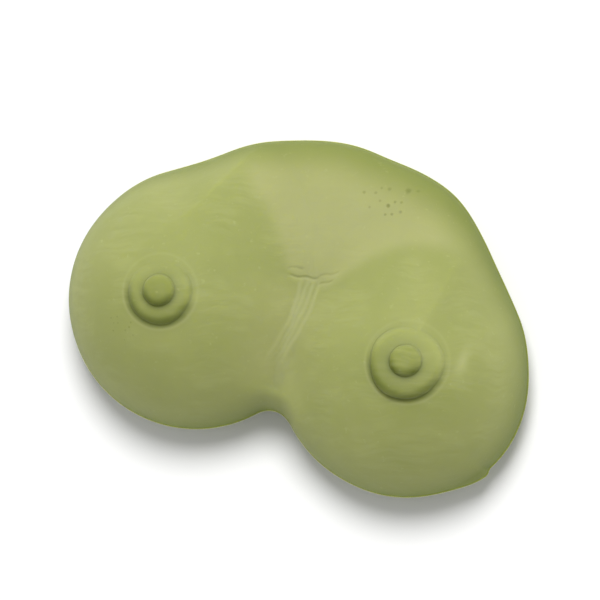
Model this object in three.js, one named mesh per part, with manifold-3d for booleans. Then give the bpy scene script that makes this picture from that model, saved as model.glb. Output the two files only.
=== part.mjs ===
// A moulded fruit gummy of one piece, in millimetres, with +Z up.
// It lies on its back: two round domes side by side rise from one rim, each with a low collar
// and a small nub on top. A crease parts the domes, and a plain sloping slab joins them at +Y.
import * as THREE from 'three';
import { ParametricGeometry } from 'three/addons/geometries/ParametricGeometry.js';
import { mergeVertices } from 'three/addons/utils/BufferGeometryUtils.js';
import Module from 'manifold-3d';

// Rim outline, seen from above: two lobes, a broad arc over the slab and a small round in the notch.
const LOBES = [
  { x: -9.0, y: 0.3, radius: 10.4 },
  { x: 8.95, y: -0.8, radius: 10.1 },
];
const SLAB_ARC = { x: 0.75, y: -0.65, radius: 16.2 };
const NOTCH_RADIUS = 2.2;

// Where the rim swells beyond the even outline or falls short of it, by angle round the core in degrees.
const SWELLS = [
  { angle: 3, halfWidth: 11, height: -0.25 },
  { angle: 54, halfWidth: 12, height: 0.35 },
  { angle: 79, halfWidth: 9, height: -0.2 },
  { angle: 127, halfWidth: 12, height: 0.42 },
  { angle: 152, halfWidth: 13, height: 0.15 },
  { angle: 275, halfWidth: 6, height: 0.1 },
  { angle: 298, halfWidth: 10, height: -0.1 },
  { angle: 336, halfWidth: 11, height: 0.25 },
];
const SWELL_FADE_START = 0.5;
const SWELL_FADE_END = 4.5;

// Heights; all but the first are above the rim.
const RIM_HEIGHT = 3.2;
const DOME_HEIGHT = 10.4;
const SLAB_HEIGHT = 4.8;
const SLAB_DIP_AT_NOTCH = 0.3;
const SLAB_FALL_AT_EDGE = 1.1;

// Rounding of the domes, of the slab's edge and of the back's edge.
const DOME_POWER = 1.85;
const DOME_ROUNDNESS = 0.54;
const DOME_EDGE = 8.7;
const SLAB_EDGE = 4.6;
const BACK_EDGE = 5.5;

// The slab's edge is rounded less at the notch, fully within the near distance and not beyond the far one.
const NOTCH_EDGE = 1.7;
const NOTCH_NEAR = 1.5;
const NOTCH_FAR = 5.0;

// Each dome runs further out towards the slab, most along a line turned inwards, and eases off there.
const DOME_REACH = 0.3;
const DOME_REACH_TURN = THREE.MathUtils.degToRad(8);
const DOME_REACH_POWER = 4;
const DOME_EASE = 0.45;

// Where along Y the slab begins at the notch, stands highest and has fallen off.
const SLAB_START = -4.0;
const SLAB_CREST = 5.0;
const SLAB_LIP = 15.0;

// Fillet between the surfaces, wider at the shoulders than in the crease, by place along Y.
const CREASE_BLEND = 3.0;
const SHOULDER_BLEND = 4.0;
const CREASE_TOP = 3.0;
const SHOULDER_START = 9.0;

// Soft valley across the back, from the notch to the middle.
const VALLEY_DEPTH = 0.7;
const VALLEY_HALF_WIDTH = 3.2;
const VALLEY_START = -5.0;
const VALLEY_END = 1.0;

// Collar and nub on each dome: the collar's radius, and its turns outwards and towards the slab in degrees.
const BUTTONS = [
  { x: -10.3, y: -0.1, radius: 2.62, lean: -4, pitch: -6.5 },
  { x: 10.3, y: -0.3, radius: 2.92, lean: 5, pitch: -10.5 },
];
const COLLAR_RISE = 0.26;
const COLLAR_SAG = 0.42;
const COLLAR_EDGE = 0.65;
const COLLAR_EDGE_DROP = 0.55;
const COLLAR_ROOT = 2.2;
const NUB_RADIUS = 1.25;
const NUB_RISE = 0.8;
const NUB_SHIFT = 0.05;

// Fineness of the mesh.
const OUTLINE_STEPS = 120;
const BACK_RINGS = 7;
const FRONT_RINGS = 22;
const COLLAR_STEPS = 30;
const NUB_STEPS = 20;
const NUB_RINGS = 12;
const COLLAR_EDGE_STEPS = 4;
const COLLAR_CROWN_STEPS = 4;

const HALF_TURN = Math.PI;
const QUARTER_TURN = Math.PI / 2;

// Centre from which the rings of the surface spread to the outline.
const CORE = new THREE.Vector2(0.3, 1.5);

const { clamp, degToRad, euclideanModulo, lerp, radToDeg, smoothstep } = THREE.MathUtils;

/** Angle of the line that touches the slab's arc and a lobe; side is +1 for the right lobe. */
function flankAngle(lobe, side) {
  const dx = lobe.x - SLAB_ARC.x;
  const dy = lobe.y - SLAB_ARC.y;
  const spread = Math.acos((SLAB_ARC.radius - lobe.radius) / Math.hypot(dx, dy));
  return Math.atan2(dy, dx) + side * spread;
}

/** Centre of the small round in the notch, which touches both lobes from outside. */
function notchCentre() {
  const [left, right] = LOBES;
  const dx = right.x - left.x;
  const dy = right.y - left.y;
  const gap = Math.hypot(dx, dy);
  const reachLeft = left.radius + NOTCH_RADIUS;
  const reachRight = right.radius + NOTCH_RADIUS;
  const along = (reachLeft ** 2 - reachRight ** 2 + gap ** 2) / (2 * gap);
  const down = Math.sqrt(reachLeft ** 2 - along ** 2);
  return new THREE.Vector2(
    left.x + (along * dx + down * dy) / gap,
    left.y + (along * dy - down * dx) / gap,
  );
}

/** The rim outline as one path of arcs and flanks, anticlockwise from the middle of the notch. */
function rimOutline() {
  const [left, right] = LOBES;
  const notch = notchCentre();
  const towardsLeft = Math.atan2(left.y - notch.y, left.x - notch.x);
  const towardsRight = Math.atan2(right.y - notch.y, right.x - notch.x);
  const middle = (towardsLeft + towardsRight) / 2;
  const rightFlank = flankAngle(right, 1);
  const leftFlank = flankAngle(left, -1);
  const path = new THREE.Path();
  path.absarc(notch.x, notch.y, NOTCH_RADIUS, middle, towardsRight, true);
  path.absarc(right.x, right.y, right.radius, towardsRight - HALF_TURN, rightFlank, false);
  path.absarc(SLAB_ARC.x, SLAB_ARC.y, SLAB_ARC.radius, rightFlank, leftFlank, false);
  path.absarc(left.x, left.y, left.radius, leftFlank, towardsLeft + HALF_TURN, false);
  path.absarc(notch.x, notch.y, NOTCH_RADIUS, towardsLeft, middle, true);
  return path;
}

/** How far the rim stands out from the even outline in the direction of a point. */
function rimSwell(x, y) {
  const angle = radToDeg(Math.atan2(y - CORE.y, x - CORE.x));
  return SWELLS.reduce((sum, swell) => {
    const apart = euclideanModulo(angle - swell.angle + 180, 360) - 180;
    return sum + swell.height * Math.exp(-((apart / swell.halfWidth) ** 2));
  }, 0);
}

/** Rises from 0 at the rim to 1 at the given inset, as a quarter round. */
function quarterRound(inset, width) {
  return Math.sqrt(1 - (1 - clamp(inset / width, 0, 1)) ** 2);
}

/** The larger of two heights, with the corner between them filled over the blend height. */
function smoothMax(a, b, blend) {
  const overlap = Math.max(blend - Math.abs(a - b), 0);
  return Math.max(a, b) + (blend > 0 ? overlap ** 2 / (4 * blend) : 0);
}

/** How far a dome's foot lies from its button in a direction if the lobe were an even round. */
function footDistance(dx, dy, button, lobe) {
  const offsetX = button.x - lobe.x;
  const offsetY = button.y - lobe.y;
  const outward = dx * offsetX + dy * offsetY;
  return Math.sqrt(outward ** 2 + lobe.radius ** 2 - offsetX ** 2 - offsetY ** 2) - outward;
}

/** How much a direction points towards the slab, turned inwards a little. */
function slabwardShare(dx, dy, button) {
  const inward = -Math.sign(button.x) * Math.sin(DOME_REACH_TURN) * dx;
  return Math.max(inward + Math.cos(DOME_REACH_TURN) * dy, 0);
}

/** Height above the rim of the dome under one button, rounded off where it would overrun the rim. */
function domeHeight(x, y, inset, button, lobe) {
  const distance = Math.hypot(x - button.x, y - button.y);
  if (distance === 0) return DOME_HEIGHT;
  const dx = (x - button.x) / distance;
  const dy = (y - button.y) / distance;
  const slabward = slabwardShare(dx, dy, button);
  const swell = rimSwell(x, y) * (1 - smoothstep(inset, SWELL_FADE_START, SWELL_FADE_END));
  const foot = footDistance(dx, dy, button, lobe) * (1 + DOME_REACH * slabward ** DOME_REACH_POWER) + swell;
  const share = Math.max(distance / foot, 1 - inset / DOME_EDGE);
  return DOME_HEIGHT * Math.max(1 - share ** DOME_POWER, 0) ** (DOME_ROUNDNESS + DOME_EASE * slabward ** 2);
}

/** Width of the rounding at the slab's edge. */
function slabEdgeWidth(x, y) {
  const across = 1 - smoothstep(Math.abs(x), NOTCH_NEAR, NOTCH_FAR);
  const down = 1 - smoothstep(y, SLAB_START, SLAB_CREST);
  return lerp(SLAB_EDGE, NOTCH_EDGE, across * down);
}

/** Height above the rim of the slab that joins the domes. */
function slabHeight(x, y, inset) {
  const dip = SLAB_DIP_AT_NOTCH * (1 - smoothstep(y, SLAB_START, SLAB_CREST));
  const fall = SLAB_FALL_AT_EDGE * smoothstep(y, SLAB_CREST, SLAB_LIP);
  return (SLAB_HEIGHT - dip - fall) * quarterRound(inset, slabEdgeWidth(x, y));
}

/** Height of the moulded front at a point that lies the given inset inside the rim. */
function frontHeight(x, y, inset) {
  const [left, right] = BUTTONS.map((button, i) => domeHeight(x, y, inset, button, LOBES[i]));
  const widening = smoothstep(y, CREASE_TOP, SHOULDER_START);
  const blend = lerp(CREASE_BLEND, SHOULDER_BLEND, widening) * quarterRound(inset, slabEdgeWidth(x, y));
  const domes = smoothMax(left, right, blend);
  return RIM_HEIGHT + smoothMax(domes, slabHeight(x, y, inset), blend);
}

/** Height of the back: a rounded edge, a flat to rest on and the soft valley. */
function backHeight(x, y, inset) {
  const round = quarterRound(inset, BACK_EDGE);
  const fade = 1 - smoothstep(y, VALLEY_START, VALLEY_END);
  const valley = VALLEY_DEPTH * fade * smoothstep(VALLEY_HALF_WIDTH - Math.abs(x), 0, VALLEY_HALF_WIDTH);
  return RIM_HEIGHT * (1 - round) + valley * round;
}

/** The closed skin: rings run from the middle of the back out to the rim and in over the front. */
function bodyGeometry() {
  const outline = rimOutline();
  const rings = BACK_RINGS + FRONT_RINGS;
  const skin = (u, v, target) => {
    const rim = outline.getPointAt(u % 1);
    const tangent = outline.getTangentAt(u % 1);
    const swell = rimSwell(rim.x, rim.y);
    rim.set(rim.x + tangent.y * swell, rim.y - tangent.x * swell);
    const ring = v * rings;
    const isBack = ring <= BACK_RINGS;
    const spread = isBack ? ring / BACK_RINGS : (rings - ring) / FRONT_RINGS;
    const share = Math.sin(clamp(spread, 0, 1) * QUARTER_TURN);
    const depth = Math.abs((rim.x - CORE.x) * tangent.y - (rim.y - CORE.y) * tangent.x);
    const inset = (1 - share) * lerp(rim.distanceTo(CORE), depth, share);
    const x = lerp(CORE.x, rim.x, share);
    const y = lerp(CORE.y, rim.y, share);
    target.set(x, y, isBack ? backHeight(x, y, inset) : frontHeight(x, y, inset));
  };
  return new ParametricGeometry(skin, OUTLINE_STEPS, rings);
}

/** Height of a collar's crown at a distance from its axis. */
function crownHeight(reach, radius) {
  return COLLAR_RISE - COLLAR_SAG * (reach / radius) ** 2;
}

/** Half section of a collar, from the root on the axis out, up and back in over the crown. */
function collarProfile(radius) {
  const points = [new THREE.Vector2(0, -COLLAR_ROOT), new THREE.Vector2(radius, -COLLAR_ROOT)];
  for (let i = 0; i <= COLLAR_EDGE_STEPS; i += 1) {
    const angle = (i / COLLAR_EDGE_STEPS) * QUARTER_TURN;
    const x = radius - COLLAR_EDGE * (1 - Math.cos(angle));
    points.push(new THREE.Vector2(x, crownHeight(x, radius) + COLLAR_EDGE_DROP * (Math.sin(angle) - 1)));
  }
  for (let i = COLLAR_CROWN_STEPS - 1; i >= 0; i -= 1) {
    const x = ((radius - COLLAR_EDGE) * i) / COLLAR_CROWN_STEPS;
    points.push(new THREE.Vector2(x, crownHeight(x, radius)));
  }
  return points;
}

/** Collar and nub of one dome. */
function buttonSolid(button) {
  const collar = new THREE.LatheGeometry(collarProfile(button.radius), COLLAR_STEPS);
  collar.rotateX(QUARTER_TURN);
  const nub = new THREE.SphereGeometry(1, NUB_STEPS, NUB_RINGS);
  nub.rotateX(QUARTER_TURN);
  nub.scale(NUB_RADIUS, NUB_RADIUS, NUB_RISE);
  nub.translate(0, NUB_SHIFT, COLLAR_RISE);
  const [collarSolid, nubSolid] = [collar, nub].map((geometry) => {
    geometry.rotateX(degToRad(button.pitch));
    geometry.rotateY(degToRad(button.lean));
    geometry.translate(button.x, button.y, RIM_HEIGHT + DOME_HEIGHT);
    return toSolid(geometry);
  });
  return collarSolid.add(nubSolid);
}

const { Manifold, Mesh: SolidMesh } = await Module().then((wasm) => {
  wasm.setup();
  return wasm;
});

/** A three.js geometry as a solid: vertices merged and triangles without area dropped. */
function toSolid(geometry) {
  geometry.deleteAttribute('normal');
  geometry.deleteAttribute('uv');
  const merged = mergeVertices(geometry, 1e-5);
  const corners = merged.index.array;
  const kept = [];
  for (let i = 0; i < corners.length; i += 3) {
    const [a, b, c] = [corners[i], corners[i + 1], corners[i + 2]];
    if (a !== b && b !== c && c !== a) kept.push(a, b, c);
  }
  return new Manifold(new SolidMesh({
    numProp: 3,
    vertProperties: new Float32Array(merged.attributes.position.array),
    triVerts: new Uint32Array(kept),
  }));
}

/** A solid back as a three.js geometry. */
function toGeometry(solid) {
  const { vertProperties, triVerts } = solid.getMesh();
  const geometry = new THREE.BufferGeometry();
  geometry.setAttribute('position', new THREE.BufferAttribute(vertProperties, 3));
  geometry.setIndex(new THREE.BufferAttribute(triVerts, 1));
  geometry.computeVertexNormals();
  return geometry;
}

const body = toSolid(bodyGeometry());
const whole = BUTTONS.reduce((solid, button) => solid.add(buttonSolid(button)), body);

const gummy = new THREE.Mesh(
  toGeometry(whole),
  new THREE.MeshStandardMaterial({ color: 0xa3aa66, roughness: 0.55, metalness: 0 }),
);
gummy.name = 'gummy';

// The origin is under the middle of the gummy, on the face that it rests on.
const box = new THREE.Box3().setFromObject(gummy);
const centre = box.getCenter(new THREE.Vector3());
gummy.position.set(-centre.x, -centre.y, 0);

const group = new THREE.Group();
group.add(gummy);

export default group;
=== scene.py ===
import math
from collections import namedtuple

import bpy
import numpy as np
from mathutils import Matrix, Vector, noise
from mathutils.geometry import delaunay_2d_cdt


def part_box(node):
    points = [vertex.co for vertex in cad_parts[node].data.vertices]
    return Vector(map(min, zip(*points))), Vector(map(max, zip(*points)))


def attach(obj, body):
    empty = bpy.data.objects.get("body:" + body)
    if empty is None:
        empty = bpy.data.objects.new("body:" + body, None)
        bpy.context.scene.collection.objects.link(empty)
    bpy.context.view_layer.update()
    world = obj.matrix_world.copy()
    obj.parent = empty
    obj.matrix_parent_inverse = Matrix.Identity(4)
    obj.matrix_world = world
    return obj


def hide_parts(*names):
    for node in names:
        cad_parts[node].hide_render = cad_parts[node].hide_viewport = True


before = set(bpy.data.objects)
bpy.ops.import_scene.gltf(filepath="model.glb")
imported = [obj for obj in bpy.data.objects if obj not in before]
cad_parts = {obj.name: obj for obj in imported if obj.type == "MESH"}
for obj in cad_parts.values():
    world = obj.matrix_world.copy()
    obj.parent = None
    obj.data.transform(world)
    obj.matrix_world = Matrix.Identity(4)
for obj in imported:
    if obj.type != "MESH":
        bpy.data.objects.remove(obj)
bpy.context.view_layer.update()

# Sizes of the gummy are in millimetres, and the mesh is made in metres at the end.
MM = 0.001
SEED = 11

Arc = namedtuple("Arc", "x y radius")
Button = namedtuple("Button", "x y lean pitch radius")
Pit = namedtuple("Pit", "x y radius depth")
PitGroup = namedtuple("PitGroup", "count centre spread smallest largest deepness")

# Rim outline, seen from above: two lobes, a broad arc over the slab and a small round in the notch.
LEFT_LOBE = Arc(-9.0, 0.3, 10.4)
RIGHT_LOBE = Arc(8.95, -0.8, 10.1)
SLAB_ARC = Arc(0.75, -0.65, 16.2)
NOTCH_RADIUS = 2.2

# Heights; all but the first are above the rim.
RIM_HEIGHT = 3.2
DOME_HEIGHT = 10.4
SLAB_HEIGHT = 4.8
SLAB_DIP_AT_NOTCH = 0.3
SLAB_FALL_AT_EDGE = 1.1

# Rounding of the domes, of the slab's edge, which is narrower at the notch, and of the back's edge.
DOME_POWER = 1.85
DOME_ROUNDNESS = 0.54
DOME_EDGE = 8.7
SLAB_EDGE = 4.6
NOTCH_EDGE = 1.7
NOTCH_NEAR, NOTCH_FAR = 1.5, 5.0
BACK_EDGE = 5.5

# Each dome runs further out towards the slab, most along a line turned inwards, and eases off there.
DOME_REACH = 0.3
DOME_REACH_TURN = math.radians(8)
DOME_REACH_POWER = 4
DOME_EASE = 0.45

# Slab and fillets by place along Y.
SLAB_START, SLAB_CREST, SLAB_LIP = -4.0, 5.0, 15.0
CREASE_BLEND, SHOULDER_BLEND = 3.0, 4.0
CREASE_TOP, SHOULDER_START = 3.0, 9.0

# Soft valley across the back.
VALLEY_DEPTH = 0.7
VALLEY_HALF_WIDTH = 3.2
VALLEY_START, VALLEY_END = -5.0, 1.0

# Collar and nub on each dome. The button leans outwards and is pitched towards the slab.
LEFT_BUTTON = Button(-10.3, -0.1, math.radians(-4), math.radians(-6.5), 2.62)
RIGHT_BUTTON = Button(10.3, -0.3, math.radians(5), math.radians(-10.5), 2.92)
COLLAR_EDGE = 0.65
COLLAR_RISE = 0.26
COLLAR_SAG = 0.42
COLLAR_EDGE_DROP = 0.55
COLLAR_FILLET = 0.1
COLLAR_WOBBLE = 0.07
NUB_RADIUS = 1.25
NUB_RISE = 0.8
NUB_SHIFT = 0.05
NUB_FILLET = 0.28
SIDE_STEEPNESS = 7

# Where the rim stands out from the even outline or falls short of it: angle round the core and half width
# in degrees, and height.
CORE = (0.3, 1.5)
SWELLS = ((3, 11, -0.25), (54, 12, 0.35), (79, 9, -0.2), (127, 12, 0.42), (152, 13, 0.15), (275, 6, 0.1),
          (298, 10, -0.1), (336, 11, 0.25))
SWELL_FADE_START, SWELL_FADE_END = 0.5, 4.5

# Small tail of gel at the rim, by angle round the core in degrees.
TAIL_LENGTH = 0.3
TAIL_START, TAIL_FULL, TAIL_END = -42, -26.5, -24.5

# Strands along the crease: place beside it, height and half width of each. Folds across its top: start, end,
# depth and bow of each.
CREASE_X, CREASE_LEAN, CREASE_BEND = 0.1, 0.2, -0.03
STRANDS = ((-0.72, 0.03, 0.16), (-0.3, 0.02, 0.1), (0.12, 0.025, 0.13), (0.68, 0.03, 0.17))
STRAND_START, STRAND_END = -1.6, 3.9
STRAND_GATHER = 0.25
FOLDS = (
    ((-1.4, 4.05), (1.0, 4.45), 0.035, -0.2),
    ((-1.65, 4.6), (-0.4, 4.9), 0.02, 0.0),
    ((1.05, 3.95), (2.2, 4.6), 0.025, -0.15),
    ((0.8, 4.6), (2.5, 5.3), 0.02, -0.15),
)
FOLD_HALF_WIDTH = 0.11
FOLD_LIP_SHARE, FOLD_LIP_PLACE = 0.6, 1.7

# Pits and specks that the casting left. Each has a faint raised lip.
SLAB_SPECKS = PitGroup(14, (4.2, 12.0), (1.2, 0.6), 0.14, 0.34, 0.18)
LEFT_SPECKS = PitGroup(10, (-12.4, -3.5), (0.9, 0.7), 0.08, 0.16, 0.2)
BACK_PITS = PitGroup(120, (0.0, 1.5), (9.5, 5.5), 0.12, 0.34, 0.55)
PIT_LIP_SHARE, PIT_LIP_PLACE, PIT_LIP_HALF_WIDTH = 0.2, 1.15, 0.16
PIT_REACH = 1.5

# Unevenness of the whole skin and of the rim, with the length of each wave, and the bead along the rim.
UNEVENNESS = 0.09
UNEVEN_BROAD, UNEVEN_FINE = 6.5, 2.8
UNEVEN_INSET = 3
RIM_WAVE, RIM_WAVE_LENGTH = 0.10, 9.0
BEAD_OUT = 0.10
BEAD_HALF_HEIGHT = 0.14

# Where the gel is tinted. The slab's paler tint, partly a painted sheen, shows where the slab stands about as
# high as the domes, with painted light down the trough between them, and not near the rim. The glint is a
# painted highlight beside the right collar.
SLAB_TINT_LOW, SLAB_TINT_HIGH = -0.7, 0.8
SLAB_TINT_START, SLAB_TINT_FULL = 2.0, 5.0
TROUGH_PAINTED_LIGHT, TROUGH_X, TROUGH_HALF_WIDTH = 0.75, -0.5, 2.8
RIM_CLEAR, RIM_TINTED = 0.4, 3.2
FRONT_START, FRONT_FULL = 0.5, 1.5
PAINTED_GLINT = (14.4, 0.9, 0.4, 1.1)
PAINTED_GLINT_STRENGTH = 1.5
# Painted shade in the folds and the pits.
FOLD_SHADE = 0.4
PIT_SHADE_DEPTH = 0.07

# Painted shade under the lower edges of the buttons: how far inside the edge it lies and its half width. A
# painted highlight line lies outside.
NUB_SHADE_IN, NUB_SHADE_HALF_WIDTH = 0.12, 0.32
COLLAR_SHADE_IN, COLLAR_SHADE_HALF_WIDTH = 0.13, 0.43
COLLAR_LINE_OUT, COLLAR_LINE_HALF_WIDTH, COLLAR_LINE_ABOVE = 0.42, 0.12, 0.35
BELOW_START, BELOW_FULL = -0.35, 0.75

# Fineness of the mesh.
RIM_STEP = 0.2
BAND_WIDTH = 1.6
FRONT_BAND_RINGS = 34
BACK_BAND_RINGS = 26
GEL_STEP = 0.2
BACK_STEP = 0.34
CREASE_STEP = 0.085
CREASE_FIELD = ((-2.0, -5.4), (2.4, 3.7))
CREASE_FIELD_HALF_WIDTH = 1.3
FOLD_FIELD = ((-2.1, 3.78), (2.9, 5.8))
FIELD_JITTER = 0.08
FIELD_GAP_SHARE = 0.55
FINE_GAP = 0.06
RIM_GAP = 0.1
ARC_STEPS = 400
POINTS_AT_ONCE = 3000

# Rings of points round a button: first reach, last reach and step. Rings round a pit: reach as a share of its
# radius, and number of points.
BUTTON_RINGS = ((0.08, 1.05, 0.09), (1.08, 1.62, 0.045), (1.68, 2.4, 0.08), (2.42, 3.1, 0.04), (3.16, 3.7, 0.1))
BUTTON_STEP = 0.085
BUTTON_FIELD_RADIUS = 3.72
PIT_RINGS = ((0.35, 6), (0.7, 10), (0.95, 14), (1.2, 14), (1.45, 14))
PIT_SPACING, PIT_GAP = 1.5, 0.05
PIT_RIM_GAP = 0.6


def smoothstep(value, low, high):
    """0 below the low end, 1 above the high end and smooth between."""
    share = np.clip((value - low) / (high - low), 0, 1)
    return share * share * (3 - 2 * share)


def bell(value, half_width):
    """1 at zero, falling off to both sides."""
    return np.exp(-((value / half_width) ** 2))


def quarter_round(inset, width):
    """Rises from 0 at the rim to 1 at the given inset."""
    return np.sqrt(1 - (1 - np.clip(inset / width, 0, 1)) ** 2)


def fused(a, b, blend):
    """The larger of two heights, with the corner between them filled over the blend height."""
    overlap = np.maximum(blend - np.abs(a - b), 0)
    return np.maximum(a, b) + overlap**2 / (4 * np.maximum(blend, 1e-6))


def slow_noise(x, y, wavelength, layer):
    """Smooth noise between about -1 and 1 at each point; the layer is any number."""
    return np.array([noise.noise(Vector((a / wavelength, b / wavelength, layer))) for a, b in zip(x, y)])


# ---- outline of the rim


def flank_angle(lobe, side):
    """Angle of the line that touches the slab's arc and a lobe; side is +1 for the right lobe."""
    dx, dy = lobe.x - SLAB_ARC.x, lobe.y - SLAB_ARC.y
    return math.atan2(dy, dx) + side * math.acos((SLAB_ARC.radius - lobe.radius) / math.hypot(dx, dy))


def notch_round():
    """The small round in the notch, which touches both lobes from outside."""
    dx, dy = RIGHT_LOBE.x - LEFT_LOBE.x, RIGHT_LOBE.y - LEFT_LOBE.y
    gap = math.hypot(dx, dy)
    reach_left, reach_right = LEFT_LOBE.radius + NOTCH_RADIUS, RIGHT_LOBE.radius + NOTCH_RADIUS
    along = (reach_left**2 - reach_right**2 + gap**2) / (2 * gap)
    down = math.sqrt(reach_left**2 - along**2)
    x = LEFT_LOBE.x + (along * dx + down * dy) / gap
    y = LEFT_LOBE.y + (along * dy - down * dx) / gap
    return Arc(x, y, NOTCH_RADIUS)


def rim_swell(angle):
    """How far the rim stands out from the even outline, by the angle round the core."""
    swell = np.zeros_like(angle)
    for middle, half_width, height in SWELLS:
        apart = (angle - middle + 180) % 360 - 180
        swell += height * bell(apart, half_width)
    return swell


def tail_reach(angle):
    """How far the small tail of gel stands out of the rim."""
    rise = smoothstep(angle, TAIL_START, TAIL_FULL) ** 2
    return TAIL_LENGTH * rise * (1 - smoothstep(angle, TAIL_FULL, TAIL_END))


def core_angle(x, y):
    """Angle of a point round the core, in degrees."""
    return np.degrees(np.arctan2(y - CORE[1], x - CORE[0]))


def rim_outline():
    """Points along the rim, anticlockwise from the middle of the notch, and their outward directions."""
    notch = notch_round()
    to_left = math.atan2(LEFT_LOBE.y - notch.y, LEFT_LOBE.x - notch.x)
    to_right = math.atan2(RIGHT_LOBE.y - notch.y, RIGHT_LOBE.x - notch.x)
    middle = (to_left + to_right) / 2
    right_flank, left_flank = flank_angle(RIGHT_LOBE, 1), flank_angle(LEFT_LOBE, -1)
    arcs = (
        (notch, middle, to_right, -1),
        (RIGHT_LOBE, to_right - math.pi, right_flank, 1),
        (SLAB_ARC, right_flank, left_flank, 1),
        (LEFT_LOBE, left_flank, to_left + math.pi, 1),
        (notch, to_left, middle, -1),
    )
    points, outward = [], []
    for arc, start, end, side in arcs:
        angles = np.linspace(start, end, ARC_STEPS)
        ray = np.column_stack([np.cos(angles), np.sin(angles)])
        points.append(np.array([arc.x, arc.y]) + ray * arc.radius)
        outward.append(ray * side)
    points, outward = np.vstack(points), np.vstack(outward)
    travel = np.concatenate([[0], np.cumsum(np.hypot(*np.diff(points, axis=0).T))])
    count = round(travel[-1] / RIM_STEP)
    stops = np.arange(count) * travel[-1] / count
    rim = np.column_stack([np.interp(stops, travel, points[:, i]) for i in range(2)])
    out = np.column_stack([np.interp(stops, travel, outward[:, i]) for i in range(2)])
    out /= np.hypot(*out.T)[:, None]
    angle = core_angle(*rim.T)
    return rim + out * (rim_swell(angle) + tail_reach(angle))[:, None], out


def depth_inside(points, rim):
    """Distance of each point from the rim outline."""
    nearest = []
    for part in np.array_split(points, max(len(points) // POINTS_AT_ONCE, 1)):
        gap = part[:, None, :] - rim[None, :, :]
        nearest.append(np.sqrt((gap**2).sum(axis=2).min(axis=1)))
    return np.concatenate(nearest)


# ---- heights of the moulded front


def dome_height(x, y, inset, button, lobe):
    """Height above the rim of the dome under one button, rounded off where it would overrun the rim."""
    dx, dy = x - button.x, y - button.y
    distance = np.maximum(np.hypot(dx, dy), 1e-9)
    dx, dy = dx / distance, dy / distance
    offset_x, offset_y = button.x - lobe.x, button.y - lobe.y
    outward = dx * offset_x + dy * offset_y
    foot = np.sqrt(outward**2 + lobe.radius**2 - offset_x**2 - offset_y**2) - outward
    inward = math.copysign(math.sin(DOME_REACH_TURN), button.x) * dx
    slabward = np.maximum(math.cos(DOME_REACH_TURN) * dy - inward, 0)
    foot = foot * (1 + DOME_REACH * slabward**DOME_REACH_POWER)
    foot = foot + rim_swell(core_angle(x, y)) * (1 - smoothstep(inset, SWELL_FADE_START, SWELL_FADE_END))
    share = np.maximum(distance / foot, 1 - inset / DOME_EDGE)
    return DOME_HEIGHT * np.maximum(1 - share**DOME_POWER, 0) ** (DOME_ROUNDNESS + DOME_EASE * slabward**2)


def edge_width(x, y):
    """Width of the rounding at the slab's edge: narrow at the notch."""
    near = 1 - smoothstep(np.abs(x), NOTCH_NEAR, NOTCH_FAR)
    near = near * (1 - smoothstep(y, SLAB_START, SLAB_CREST))
    return SLAB_EDGE + (NOTCH_EDGE - SLAB_EDGE) * near


def slab_height(x, y, inset):
    """Height above the rim of the slab that joins the domes."""
    dip = SLAB_DIP_AT_NOTCH * (1 - smoothstep(y, SLAB_START, SLAB_CREST))
    fall = SLAB_FALL_AT_EDGE * smoothstep(y, SLAB_CREST, SLAB_LIP)
    return (SLAB_HEIGHT - dip - fall) * quarter_round(inset, edge_width(x, y))


def button_height(x, y, button):
    """Height of a collar and its nub, and far below the gel beside them."""
    dx, dy = x - button.x, y - button.y
    lean = np.array([
        math.cos(button.pitch) * math.sin(button.lean),
        -math.sin(button.pitch),
        math.cos(button.pitch) * math.cos(button.lean),
    ])
    seat = RIM_HEIGHT + DOME_HEIGHT - (lean[0] * dx + lean[1] * dy) / lean[2]
    turn = np.arctan2(dy, dx)
    wobble = COLLAR_WOBBLE * (np.sin(3 * turn + button.x) * 0.6 + np.sin(5 * turn + 2.1 * button.x) * 0.4)
    reach = np.hypot(dx, dy) + wobble
    edge = np.clip((reach - button.radius) / COLLAR_EDGE + 1, 0, 1)
    crown = COLLAR_RISE - COLLAR_SAG * (reach / button.radius) ** 2
    collar = seat + (crown + COLLAR_EDGE_DROP * (np.sqrt(1 - edge**2) - 1))
    collar = collar - SIDE_STEEPNESS * np.maximum(reach - button.radius, 0)
    nub_reach = np.hypot(dx, dy - NUB_SHIFT) / NUB_RADIUS
    nub = seat + COLLAR_RISE + NUB_RISE * np.sqrt(1 - np.minimum(nub_reach, 1) ** 2)
    nub = nub - SIDE_STEEPNESS * np.maximum(nub_reach - 1, 0)
    return fused(collar, nub, NUB_FILLET)


def beside_crease(x, y):
    """How far a point lies to the right of the crease."""
    return x - CREASE_X - CREASE_LEAN * y - CREASE_BEND * y**2


def crease_relief(x, y):
    """Fine strands that run along the crease and the folds across its top."""
    aside = beside_crease(x, y)
    fade = smoothstep(y, STRAND_START - 2.0, STRAND_START)
    fade = fade * (1 - smoothstep(y, STRAND_END - 0.6, STRAND_END + 0.5))
    relief = np.zeros_like(x)
    gather = 1 - STRAND_GATHER + STRAND_GATHER * smoothstep(y, STRAND_START, STRAND_END)
    for n, (offset, height, half_width) in enumerate(STRANDS):
        # Each strand sways a little on its own way down.
        sway = 0.05 * np.sin(1.3 * y + 2.2 * n) + 0.03 * np.sin(3.1 * y + n)
        relief += height * fade * bell(aside - offset * gather - sway, half_width)
    for (x0, y0), (x1, y1), depth, bow in FOLDS:
        along = (x - x0) / (x1 - x0)
        path = y0 + (y1 - y0) * along + bow * along * (1 - along) + 0.05 * np.sin(5 * x + 60 * depth)
        ends = smoothstep(along, -0.08, 0.15) * (1 - smoothstep(along, 0.82, 1.08))
        across = (y - path) / FOLD_HALF_WIDTH
        relief += depth * ends * (FOLD_LIP_SHARE * bell(across + FOLD_LIP_PLACE, 1) - bell(across, 1))
    return relief


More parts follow.
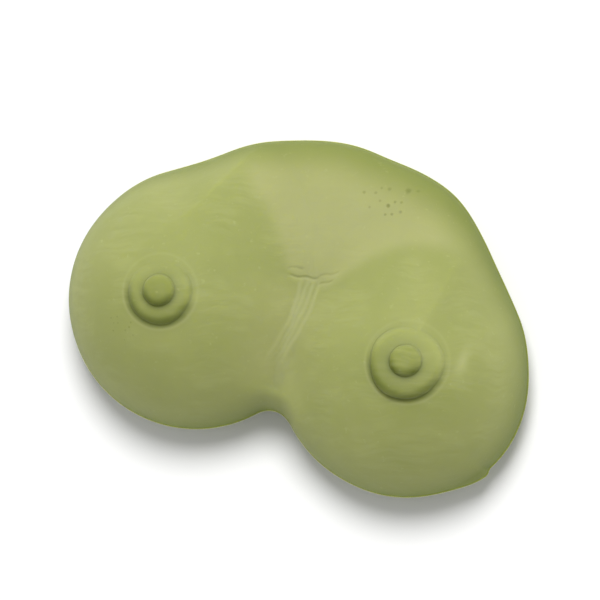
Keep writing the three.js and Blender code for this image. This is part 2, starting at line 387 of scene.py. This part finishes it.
def pit_relief(x, y, pits):
    """Small round dents, each with its lip."""
    relief = np.zeros_like(x)
    for pit in pits:
        span = PIT_REACH * pit.radius
        near = (np.abs(x - pit.x) < span) & (np.abs(y - pit.y) < span)
        reach = np.hypot(x[near] - pit.x, y[near] - pit.y) / pit.radius
        lip = PIT_LIP_SHARE * pit.depth * bell(reach - PIT_LIP_PLACE, PIT_LIP_HALF_WIDTH)
        relief[near] -= pit.depth * np.clip(1 - reach**2, 0, 1) - lip
    return relief


def foot_marks(x, y, button):
    """Painted shade under the lower edges of a collar and its nub, and the painted highlight line that runs
    round the collar.
    """
    dx, dy = x - button.x, y - button.y
    reach = np.hypot(dx, dy)
    below = smoothstep(-dy / np.maximum(reach, 1e-6), BELOW_START, BELOW_FULL)
    nub_shade = bell(np.hypot(dx, dy - NUB_SHIFT) - NUB_RADIUS + NUB_SHADE_IN, NUB_SHADE_HALF_WIDTH)
    collar_shade = bell(reach - button.radius + COLLAR_SHADE_IN, COLLAR_SHADE_HALF_WIDTH)
    line = bell(reach - button.radius - COLLAR_LINE_OUT, COLLAR_LINE_HALF_WIDTH)
    line = line * (COLLAR_LINE_ABOVE + (1 - COLLAR_LINE_ABOVE) * below)
    return below * np.maximum(nub_shade, collar_shade), line


def slab_tint_and_sheen(x, y, z, inset):
    """How much of the slab's tint, partly a painted sheen, and of the painted light down the trough shows at a
    point: 1 on the slab, less low between the domes, 0 on them.
    """
    left = dome_height(x, y, inset, LEFT_BUTTON, LEFT_LOBE)
    right = dome_height(x, y, inset, RIGHT_BUTTON, RIGHT_LOBE)
    above = slab_height(x, y, inset) - np.maximum(left, right)
    slabward = smoothstep(y, SLAB_TINT_START, SLAB_TINT_FULL)
    slab = smoothstep(above, SLAB_TINT_LOW, SLAB_TINT_HIGH) * slabward
    # Painted light down the trough between the domes.
    trough = TROUGH_PAINTED_LIGHT * bell(x - TROUGH_X, TROUGH_HALF_WIDTH) * (1 - slabward)
    return np.maximum(slab, trough) * smoothstep(inset, RIM_CLEAR, RIM_TINTED) * (z > RIM_HEIGHT)


def marks(x, y, z, front_pits, back_pits):
    """Painted highlights on the strands, round the collars and as a glint beside the right collar, and painted
    shade in pits, folds and under the buttons' feet.
    """
    front = smoothstep(z, RIM_HEIGHT + FRONT_START, RIM_HEIGHT + FRONT_FULL)
    relief = crease_relief(x, y) * front
    highest_strand, deepest_fold = STRANDS[0][1], FOLDS[0][2]
    # Painted highlight on the tops of the strands.
    pale = np.clip(relief / highest_strand, 0, 1)
    pits = pit_relief(x, y, front_pits) * front + pit_relief(x, y, back_pits) * (z < RIM_HEIGHT)
    # Painted shade in folds and pits, in proportion to their depth.
    dark = np.clip(np.maximum(-FOLD_SHADE * relief / deepest_fold, -pits / PIT_SHADE_DEPTH), 0, 1)
    # Painted glint beside the right collar.
    glint = bell(x - PAINTED_GLINT[0], PAINTED_GLINT[2]) * bell(y - PAINTED_GLINT[1], PAINTED_GLINT[3])
    pale = np.maximum(pale, PAINTED_GLINT_STRENGTH * glint * front)
    # Painted shade under the buttons' lower edges, and a painted highlight line round each collar.
    for button in (LEFT_BUTTON, RIGHT_BUTTON):
        shade, line = foot_marks(x, y, button)
        dark, pale = np.maximum(dark, shade * front), np.maximum(pale, line * front)
    return pale, dark


def rim_height(x, y):
    """Height of the rim, which waves a little."""
    return RIM_HEIGHT + RIM_WAVE * slow_noise(x, y, RIM_WAVE_LENGTH, 3.37)


def front_height(x, y, inset, pits):
    """Height of the moulded front at points that lie the given inset inside the rim."""
    left = dome_height(x, y, inset, LEFT_BUTTON, LEFT_LOBE)
    right = dome_height(x, y, inset, RIGHT_BUTTON, RIGHT_LOBE)
    slab = slab_height(x, y, inset)
    widening = smoothstep(y, CREASE_TOP, SHOULDER_START)
    blend = CREASE_BLEND + (SHOULDER_BLEND - CREASE_BLEND) * widening
    blend = blend * quarter_round(inset, edge_width(x, y))
    gel = fused(fused(left, right, blend), slab, blend)
    settled = smoothstep(inset, 0, UNEVEN_INSET)
    uneven = slow_noise(x, y, UNEVEN_BROAD, 0.37) + 0.5 * slow_noise(x, y, UNEVEN_FINE, 7.37)
    gel = gel + settled * UNEVENNESS * uneven
    gel = rim_height(x, y) + gel + settled * (crease_relief(x, y) + pit_relief(x, y, pits))
    for button in (LEFT_BUTTON, RIGHT_BUTTON):
        gel = fused(gel, button_height(x, y, button), COLLAR_FILLET)
    return gel


def back_height(x, y, inset, pits):
    """Height of the back: a rounded edge, a flat to rest on, the soft valley and its pits."""
    round_share = quarter_round(inset, BACK_EDGE)
    fade = 1 - smoothstep(y, VALLEY_START, VALLEY_END)
    valley = VALLEY_DEPTH * fade * smoothstep(VALLEY_HALF_WIDTH - np.abs(x), 0, VALLEY_HALF_WIDTH)
    dents = -pit_relief(x, y, pits) * smoothstep(inset, 0.3, 1.2)
    return np.maximum(rim_height(x, y) * (1 - round_share) + valley * round_share + dents, 0)


# ---- points and faces


def even_points(low, high, step):
    """A field of points in staggered rows, each a little off its place."""
    rng = np.random.default_rng(SEED)
    rows = np.arange(low[1], high[1], step * math.sqrt(0.75))
    field = []
    for n, y in enumerate(rows):
        x = np.arange(low[0], high[0], step) + (n % 2) * step / 2
        field.append(np.column_stack([x, np.full(len(x), y)]))
    field = np.vstack(field)
    return field + rng.uniform(-FIELD_JITTER, FIELD_JITTER, field.shape) * step


def button_rings(button):
    """Points in rings round a button, closest together where the nub and the collar curve most."""
    reaches = np.concatenate([np.arange(*band) for band in BUTTON_RINGS])
    rings = [np.zeros((1, 2))]
    for n, reach in enumerate(reaches):
        count = max(8, round(2 * math.pi * reach / BUTTON_STEP))
        turn = (np.arange(count) + 0.5 * (n % 2)) * 2 * math.pi / count
        rings.append(np.column_stack([np.cos(turn), np.sin(turn)]) * reach)
    return np.vstack(rings) + np.array([button.x, button.y])


def pit_rings(pits):
    """Points in small rings in and round each pit."""
    points = []
    for pit in pits:
        points.append([[pit.x, pit.y]])
        for reach, count in PIT_RINGS:
            turn = np.arange(count) * 2 * math.pi / count + reach
            x, y = pit.x + np.cos(turn) * reach * pit.radius, pit.y + np.sin(turn) * reach * pit.radius
            points.append(np.column_stack([x, y]))
    return np.vstack(points)


def scattered_pits(group, rng):
    """Pits round a centre, most of them small, none touching another."""
    pits = []
    while len(pits) < group.count:
        x, y = rng.normal(group.centre, group.spread)
        radius = group.smallest + (group.largest - group.smallest) * rng.random() ** 2.5
        if all(math.hypot(x - p.x, y - p.y) > PIT_SPACING * (radius + p.radius) + PIT_GAP for p in pits):
            pits.append(Pit(x, y, radius, radius * group.deepness * rng.uniform(0.7, 1.2)))
    return pits


def clear_of(points, others, gap):
    """The points that keep the gap to a set of finer points."""
    if not len(others):
        return points
    cells = {}
    for x, y in others:
        cells.setdefault((int(x // gap), int(y // gap)), []).append((x, y))
    kept = []
    for x, y in points:
        i, j = int(x // gap), int(y // gap)
        close = (q for a in (i - 1, i, i + 1) for b in (j - 1, j, j + 1) for q in cells.get((a, b), ()))
        if all((x - q[0]) ** 2 + (y - q[1]) ** 2 > gap * gap for q in close):
            kept.append((x, y))
    return np.array(kept)


def within(points, edge):
    """Which points lie inside a closed line."""
    x, y = points.T
    inside = np.zeros(len(points), bool)
    for (x0, y0), (x1, y1) in zip(edge, np.roll(edge, -1, axis=0)):
        crosses = (y0 > y) != (y1 > y)
        if crosses.any():
            inside ^= crosses & (x < (x1 - x0) * (y - y0) / ((y1 - y0) or 1e-12) + x0)
    return inside


def web(edge, inner):
    """Triangles over the area within an edge, through the inner points, as corner numbers."""
    spots = np.vstack([edge, inner])
    line = [(i, (i + 1) % len(edge)) for i in range(len(edge))]
    corners = delaunay_2d_cdt([Vector(spot) for spot in spots], line, [], 0, 1e-7)[2]
    middles = spots[np.array(corners)].mean(axis=1)
    return [corners[i] for i in np.flatnonzero(within(middles, edge))]


def gummy_piece():
    """The whole gummy as one closed skin: the moulded front and the back meet at the rim."""
    rng = np.random.default_rng(SEED)
    rim, out = rim_outline()
    count = len(rim)
    low, high = rim.min(axis=0), rim.max(axis=0)
    front_pits = scattered_pits(SLAB_SPECKS, rng) + scattered_pits(LEFT_SPECKS, rng)
    back_pits = scattered_pits(BACK_PITS, rng)

    points, faces = [], []

    def add_ring(xy, z):
        points.append(np.column_stack([xy, z]))
        return sum(len(p) for p in points) - len(xy)

    def join(outer, inner, upwards):
        for i in range(count):
            j = (i + 1) % count
            quad = [outer + i, outer + j, inner + j, inner + i]
            faces.append(quad if upwards else quad[::-1])

    bead = rim_height(*rim.T)
    rim_start = add_ring(rim + out * BEAD_OUT, bead)
    sides = (
        (front_height, FRONT_BAND_RINGS, GEL_STEP, front_pits, True),
        (back_height, BACK_BAND_RINGS, BACK_STEP, back_pits, False),
    )
    for height, rings, step, pits, upwards in sides:
        before = rim_start
        for ring in range(1, rings + 1):
            inset = BAND_WIDTH * (ring / rings) ** 2
            spot = rim - out * inset
            z = height(*spot.T, np.full(count, inset), pits)
            swell = BEAD_OUT * bell(z - bead, BEAD_HALF_HEIGHT)
            start = add_ring(spot + out * swell[:, None], z)
            join(before, start, upwards)
            before = start
        edge = rim - out * BAND_WIDTH
        depths = depth_inside(np.array([[pit.x, pit.y] for pit in pits]), rim)
        fine = pit_rings([pit for pit, depth in zip(pits, depths) if depth > BAND_WIDTH + PIT_RIM_GAP])
        inner = even_points(low, high, step)
        if upwards:
            crease = even_points(*CREASE_FIELD, CREASE_STEP)
            crease = crease[np.abs(beside_crease(*crease.T)) < CREASE_FIELD_HALF_WIDTH]
            crease = clear_of(np.vstack([crease, even_points(*FOLD_FIELD, CREASE_STEP)]), fine, FINE_GAP)
            fine = np.vstack([fine, crease, button_rings(LEFT_BUTTON), button_rings(RIGHT_BUTTON)])
            for button in (LEFT_BUTTON, RIGHT_BUTTON):
                apart = np.hypot(inner[:, 0] - button.x, inner[:, 1] - button.y)
                inner = inner[apart > BUTTON_FIELD_RADIUS]
        inner = clear_of(inner, fine, step * FIELD_GAP_SHARE)
        inner = np.vstack([inner, fine])
        inner = inner[within(inner, edge)]
        inset = depth_inside(inner, rim)
        inner, inset = inner[inset > BAND_WIDTH + RIM_GAP], inset[inset > BAND_WIDTH + RIM_GAP]
        start = add_ring(inner, height(*inner.T, inset, pits))
        for face in web(edge, inner):
            corners = [before + i if i < count else start + i - count for i in face]
            faces.append(corners if upwards else corners[::-1])

    skin = np.vstack(points)
    box_centre = (skin.min(axis=0) + skin.max(axis=0)) / 2
    box_centre[2] = 0
    mesh = bpy.data.meshes.new("gummy_gel_skin")
    mesh.from_pydata(((skin - box_centre) * MM).tolist(), [], faces)
    mesh.validate()
    mesh.shade_smooth()
    # The pale marks are painted highlights and the dark marks painted shade; the slab share carries the slab's
    # tint, partly a painted sheen, and painted light down the trough.
    pale, dark = marks(*skin.T, front_pits, back_pits)
    slab = slab_tint_and_sheen(*skin.T, depth_inside(skin[:, :2], rim))
    for name, share in (("pale", pale), ("dark", dark), ("slab", slab)):
        mesh.attributes.new(name, "FLOAT", "POINT").data.foreach_set("value", share)
    piece = bpy.data.objects.new("gummy_gel_skin", mesh)
    bpy.context.collection.objects.link(piece)
    return piece


# ---- finishes

# Of these colours, the rim's green and the nubs' green are painted shade, the slab's olive is partly a painted
# sheen, the pale gel serves both random grain and painted highlights, and the shade green is painted shade.
DOME_GREEN = (0.295, 0.325, 0.108, 1)
SLAB_OLIVE_AND_SHEEN = (0.365, 0.378, 0.158, 1)
CLOUD_OLIVE = (0.42, 0.43, 0.18, 1)
RIM_SHADE_GREEN = (0.14, 0.178, 0.022, 1)
NUB_TOP_SHADE_GREEN = (0.225, 0.252, 0.075, 1)
PALE_GEL_AND_HIGHLIGHT = (0.5, 0.51, 0.25, 1)
SHADE_GREEN = (0.1, 0.125, 0.02, 1)
FLOOR_WHITE = (0.9, 0.9, 0.9, 1)

# Direction across the drawn streaks, in the plane of the rim.
ACROSS_STREAKS_X, ACROSS_STREAKS_Y = -0.269, 0.963


class Value:
    """A number on a finish. Sums, differences and products of it add Math nodes."""

    def __init__(self, finish, socket):
        self.finish = finish
        self.socket = socket

    def math(self, operation, *terms):
        return self.finish.node("ShaderNodeMath", {"operation": operation}, dict(enumerate(terms)))

    def __add__(self, other):
        return self.math("ADD", self, other)

    def __sub__(self, other):
        return self.math("SUBTRACT", self, other)

    def __rsub__(self, other):
        return self.math("SUBTRACT", other, self)

    def __mul__(self, other):
        return self.math("MULTIPLY", self, other)

    __radd__ = __add__
    __rmul__ = __mul__


class Finish:
    """A material that is built up node by node."""

    def __init__(self, name):
        self.material = bpy.data.materials.new(name)
        self.material.use_nodes = True
        self.tree = self.material.node_tree
        self.surface = self.tree.nodes["Principled BSDF"]

    def fill(self, node, inputs):
        """Sets the sockets of a node to values or links them."""
        for key, value in inputs.items():
            if isinstance(value, Value):
                self.tree.links.new(value.socket, node.inputs[key])
            else:
                node.inputs[key].default_value = value

    def node(self, kind, settings, inputs, output=0):
        """Adds a node with its settings, then its sockets, and gives back one of its outputs."""
        node = self.tree.nodes.new(kind)
        for key, value in settings.items():
            setattr(node, key, value)
        self.fill(node, inputs)
        return Value(self, node.outputs[output])

    def noise(self, place, wavelength, detail=2.0, roughness=0.5):
        """Soft noise from 0 to 1, with its main wavelength in millimetres."""
        sockets = {"Vector": place, "Scale": 1 / wavelength, "Detail": detail, "Roughness": roughness}
        return self.node("ShaderNodeTexNoise", {"noise_dimensions": "3D"}, sockets)

    def ramp(self, value, low, high):
        """0 below the low end, 1 above the high end and smooth between."""
        sockets = {"Value": value, "From Min": low, "From Max": high}
        return self.node("ShaderNodeMapRange", {"interpolation_type": "SMOOTHSTEP"}, sockets)

    def mix(self, share, colour_a, colour_b):
        """The first colour at share 0 and the second at 1."""
        sockets = {0: share, 6: colour_a, 7: colour_b}
        return self.node("ShaderNodeMix", {"data_type": "RGBA"}, sockets, 2)


def gel_finish():
    """Satin, translucent olive-green gel: paler over the slab, partly as a painted sheen, with painted light
    down the trough, painted shade near the rim and on the collar tops and nubs, and the marks' painted
    highlights and shade.
    """
    finish = Finish("olive gummy gel")
    place = finish.node("ShaderNodeTexCoord", {}, {}, "Object")
    place = finish.node("ShaderNodeVectorMath", {"operation": "SCALE"}, {0: place, "Scale": 1 / MM})
    x, y, z = (finish.node("ShaderNodeSeparateXYZ", {}, {0: place}, axis) for axis in "XYZ")
    # The pale attribute holds painted highlights, the dark one painted shade, and the slab one the slab's tint,
    # partly a painted sheen, with painted light down the trough.
    pale, dark, slab = (
        finish.node("ShaderNodeAttribute", {"attribute_name": name}, {}, "Fac")
        for name in ("pale", "dark", "slab")
    )

    cloud = finish.noise(place, 5.0, 3.0)
    fine = finish.noise(place, 0.55, 3.0, 0.6)
    # Painted shade on the sides round the rim, from just above the back up the lower front; the back and the
    # upper front keep the gel's colour.
    clear_of_rim_shade = finish.ramp(z, 2.6, 8.0) + (1 - finish.ramp(z, 0.1, 2.2))
    # Paler olive over the slab, partly a painted sheen, and painted light down the trough.
    colour = finish.mix(slab, DOME_GREEN, SLAB_OLIVE_AND_SHEEN)
    colour = finish.mix((cloud - 0.5) * 0.5 + 0.12, colour, CLOUD_OLIVE)
    colour = finish.mix(clear_of_rim_shade, RIM_SHADE_GREEN, colour)
    # Painted shade on the highest parts: the collars' tops and the nubs.
    colour = finish.mix(finish.ramp(z, 13.0, 14.4), colour, NUB_TOP_SHADE_GREEN)
    # Random pale grain, with the painted highlights of the pale attribute.
    colour = finish.mix(finish.ramp(fine, 0.62, 0.78) * 0.2 + pale * 0.3, colour, PALE_GEL_AND_HIGHLIGHT)
    # Painted shade from the dark attribute.
    colour = finish.mix(dark * 0.8, colour, SHADE_GREEN)

    # Pale streaks along faint moulding lines: painted light on them, as well as a little bump.
    across = x * ACROSS_STREAKS_X + y * ACROSS_STREAKS_Y
    along = x * ACROSS_STREAKS_Y - y * ACROSS_STREAKS_X
    drawn = finish.node("ShaderNodeCombineXYZ", {}, {0: along * 0.12, 1: across + cloud * 2.0, 2: z * 0.2})
    patches = finish.ramp(finish.noise(place, 4.0, 2.0), 0.4, 0.6) * finish.ramp(z, 6.0, 9.0)
    streaks = finish.ramp(finish.noise(drawn, 0.55, 2.0, 0.6), 0.3, 0.7) * patches
    colour = finish.mix(streaks * 0.14, colour, PALE_GEL_AND_HIGHLIGHT)

    grain = finish.noise(place, 0.18, 3.0, 0.6)
    waxy = finish.noise(place, 1.3, 2.0, 0.5)
    relief = grain * 0.013 + waxy * 0.05 + streaks * 0.02
    finish.fill(finish.surface, {
        "Base Color": colour,
        "Roughness": 0.44 + fine * 0.16,
        "IOR": 1.42,
        "Specular IOR Level": 0.14,
        "Subsurface Weight": 1.0,
        "Subsurface Radius": (1.0, 0.95, 0.3),
        "Subsurface Scale": 0.0026,
        "Normal": finish.node("ShaderNodeBump", {}, {"Height": relief, "Distance": MM, "Strength": 0.8}),
    })
    return finish.material


def floor_finish():
    """Plain matt white."""
    finish = Finish("pale floor")
    finish.fill(finish.surface, {"Base Color": FLOOR_WHITE, "Roughness": 0.7})
    return finish.material


# ---- the gummy

gummy = gummy_piece()
gummy.data.materials.append(gel_finish())
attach(gummy, "root")
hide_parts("gummy")

# ---- floor, light and camera

FLOOR_HALF = 0.6
FLOOR_GAP = 0.00005
WINDOW_PLACE = (-0.015, 0.235, 0.53)
WINDOW_AIM = (0, 0, 0.008)
WINDOW_SIZE = 0.24
WINDOW_POWER = 2.9
STUDIO_LIGHT = 0.5

floor_mesh = bpy.data.meshes.new("floor")
corners = [(x * FLOOR_HALF, y * FLOOR_HALF, 0) for x, y in ((-1, -1), (1, -1), (1, 1), (-1, 1))]
floor_mesh.from_pydata(corners, [], [(0, 1, 2, 3)])
floor = bpy.data.objects.new("floor", floor_mesh)
floor.location.z = -FLOOR_GAP
floor.data.materials.append(floor_finish())
bpy.context.collection.objects.link(floor)

lamp = bpy.data.lights.new("window", "AREA")
lamp.shape = "DISK"
lamp.size = WINDOW_SIZE
lamp.energy = WINDOW_POWER
window = bpy.data.objects.new("window", lamp)
window.location = WINDOW_PLACE
window.rotation_euler = (Vector(WINDOW_AIM) - Vector(WINDOW_PLACE)).to_track_quat("-Z", "Y").to_euler()
bpy.context.collection.objects.link(window)

world = bpy.data.worlds.new("studio")
world.use_nodes = True
background = world.node_tree.nodes["Background"]
background.inputs["Color"].default_value = (1, 1, 1, 1)
background.inputs["Strength"].default_value = STUDIO_LIGHT
bpy.context.scene.world = world
bpy.context.scene.view_settings.view_transform = "Standard"

# The camera looks down on the gummy, a little from its right and from the notch, and is rolled.
VIEW_RIGHT = math.radians(9.5)
VIEW_DOWN = math.radians(1.5)
VIEW_ROLL = math.radians(15.6)
VIEW_DISTANCE = 0.6
VIEW_WIDTH = 0.048
SENSOR_WIDTH = 36

lo, hi = (Vector(corner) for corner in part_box("gummy"))
aim = (lo + hi) / 2
towards = Vector((math.sin(VIEW_RIGHT), -math.sin(VIEW_DOWN), 1)).normalized()
level = Vector((0, 1, 0)).cross(towards).normalized()
upright = towards.cross(level)
across = level * math.cos(VIEW_ROLL) + upright * math.sin(VIEW_ROLL)
camera_data = bpy.data.cameras.new("camera")
camera_data.sensor_width = SENSOR_WIDTH
camera_data.lens = VIEW_DISTANCE * SENSOR_WIDTH / VIEW_WIDTH
camera_data.clip_start = 0.01
camera = bpy.data.objects.new("camera", camera_data)
turned = Matrix((across, towards.cross(across), towards)).transposed().to_4x4()
camera.matrix_world = Matrix.Translation(aim + towards * VIEW_DISTANCE) @ turned
bpy.context.collection.objects.link(camera)
bpy.context.scene.camera = camera
